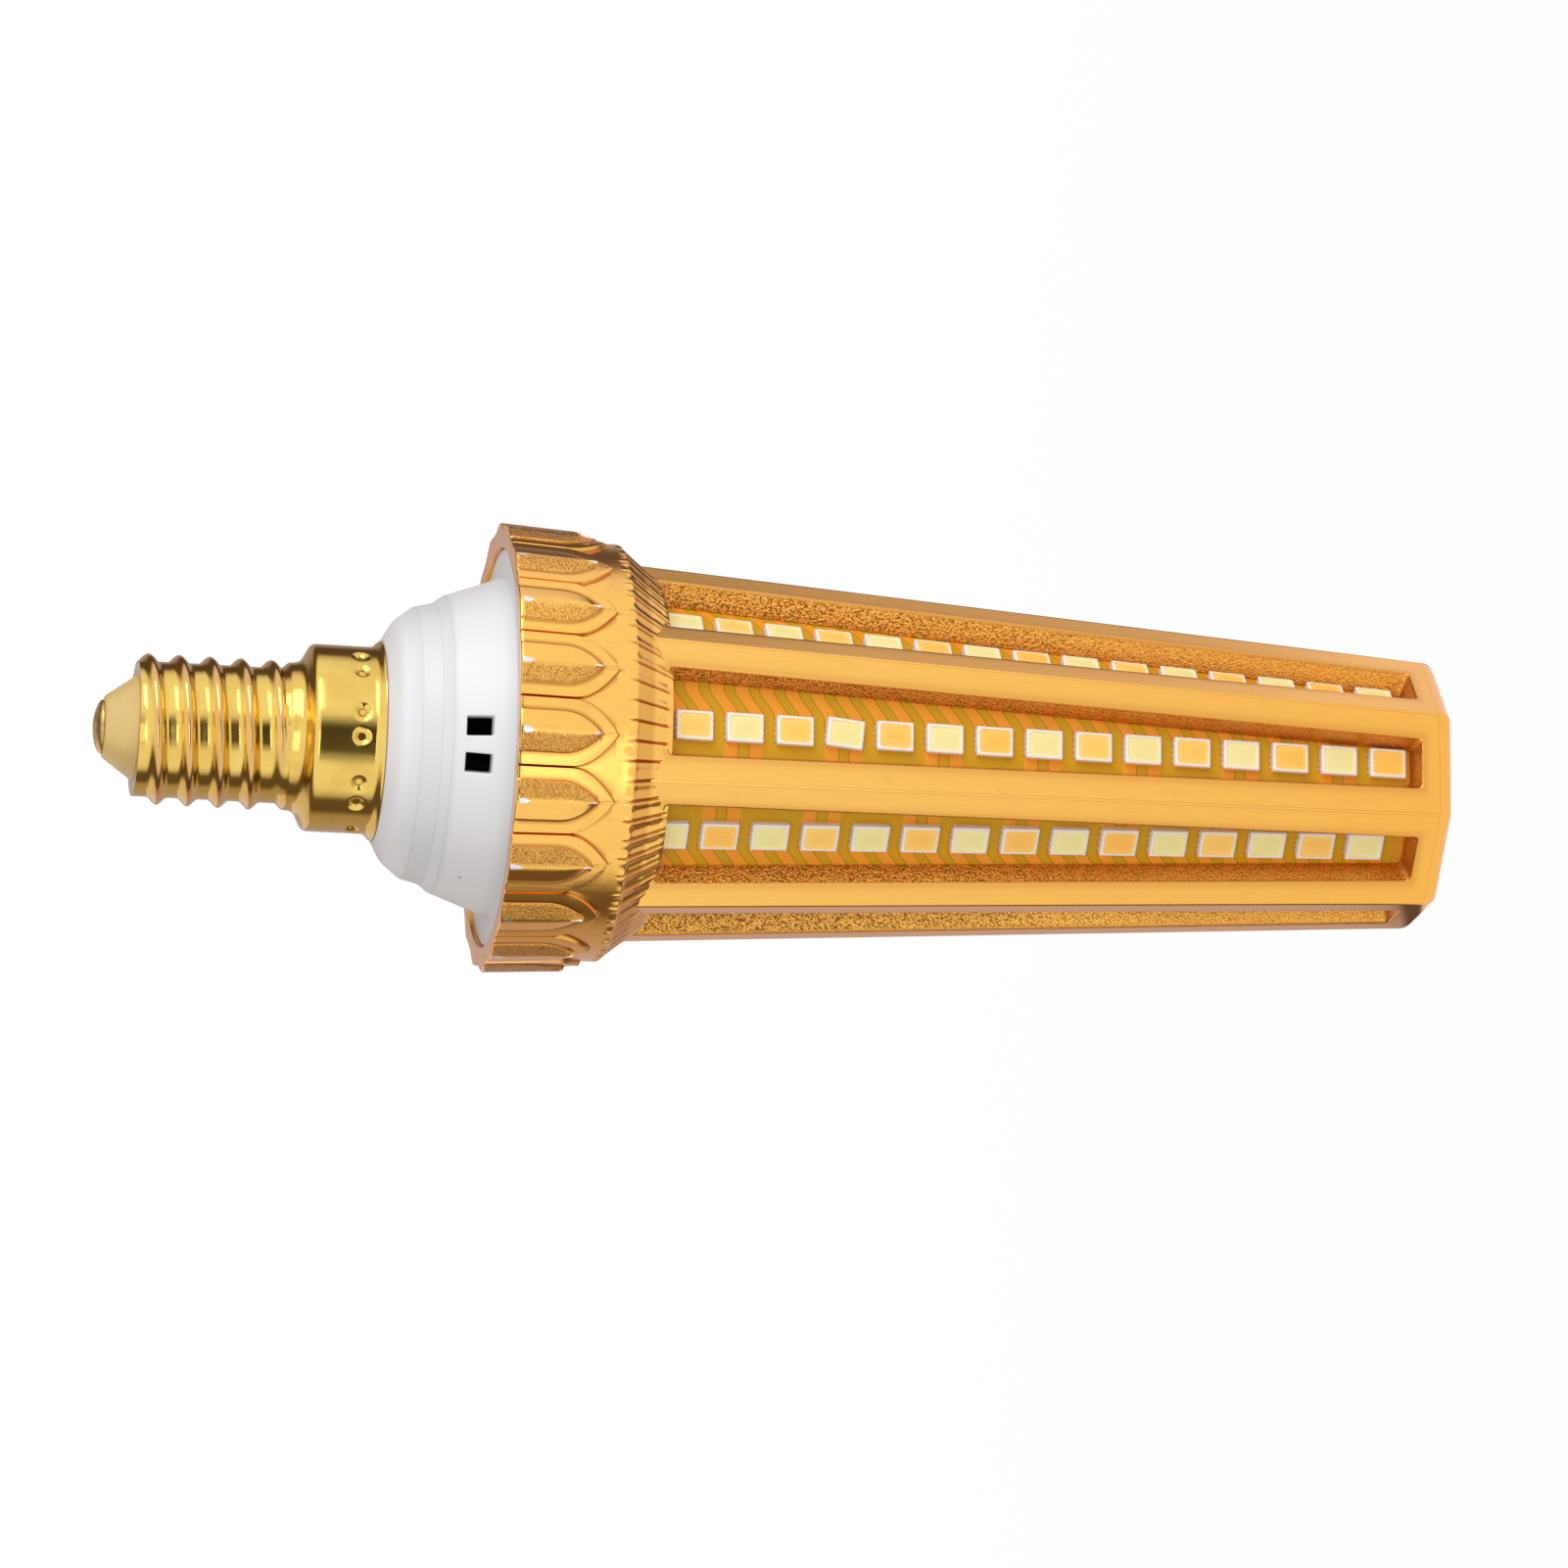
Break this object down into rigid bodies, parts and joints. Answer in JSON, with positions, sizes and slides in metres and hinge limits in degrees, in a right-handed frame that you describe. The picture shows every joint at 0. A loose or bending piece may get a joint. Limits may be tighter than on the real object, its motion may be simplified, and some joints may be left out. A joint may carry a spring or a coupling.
{
  "type": "corn led bulb",
  "caption": "Tapered eight-sided corn LED lamp on an E14 screw cap, with windowed rows of chips, a petal collar and a white vented neck.",
  "frame": {"origin": "middle of the flat closed end of the gold shell, on which the lamp stands", "axes": "+Z along the lamp's axis from the flat end to the screw cap, -Y out of one of the eight faces"},
  "size_m": [0.041, 0.041, 0.1247],
  "materials": {
    "gold_plating": "gold vacuum plating on moulded plastic, smooth faces and hammered window sides",
    "white_plastic": "satin white moulding",
    "cap_brass": "bright rolled brass",
    "contact_brass": "dull brass rivet",
    "insulator_cream": "cream insulator",
    "flex_circuit": "mustard solder mask over copper tracks",
    "former_grey": "plain moulded former",
    "led_warm": "orange phosphor in a white chip body",
    "led_cool": "pale yellow phosphor in a white chip body",
    "circuit_green": "green solder mask",
    "can_sleeve": "dark shrink sleeve on an aluminium can",
    "ferrite": "ferrite drum with copper winding",
    "black_epoxy": "moulded epoxy with tinned legs",
    "resistor_coat": "flameproof coating",
    "lead_red": "red insulation",
    "lead_black": "black insulation"
  },
  "bodies": {
    "root": {"gold_shell": "gold_plating", "led_board": "flex_circuit", "board_core": "former_grey", "neck_housing": "white_plastic", "screw_cap": "cap_brass", "cap_insulator": "insulator_cream", "centre_contact": "contact_brass", "driver_board": "circuit_green", "smoothing_capacitor": "can_sleeve", "inductor": "ferrite", "bridge_rectifier": "black_epoxy", "driver_chip": "black_epoxy", "fuse_resistor": "resistor_coat", "live_lead": "lead_red", "neutral_lead": "lead_black", "positive_led_lead": "lead_red", "negative_led_lead": "lead_black", "warm_leds_row_1": "led_warm", "cool_leds_row_1": "led_cool", "warm_leds_row_2": "led_warm", "cool_leds_row_2": "led_cool", "warm_leds_row_3": "led_warm", "cool_leds_row_3": "led_cool", "warm_leds_row_4": "led_warm", "cool_leds_row_4": "led_cool", "warm_leds_row_5": "led_warm", "cool_leds_row_5": "led_cool", "warm_leds_row_6": "led_warm", "cool_leds_row_6": "led_cool", "warm_leds_row_7": "led_warm", "cool_leds_row_7": "led_cool", "warm_leds_row_8": "led_warm", "cool_leds_row_8": "led_cool"}
  },
  "joints": []
}
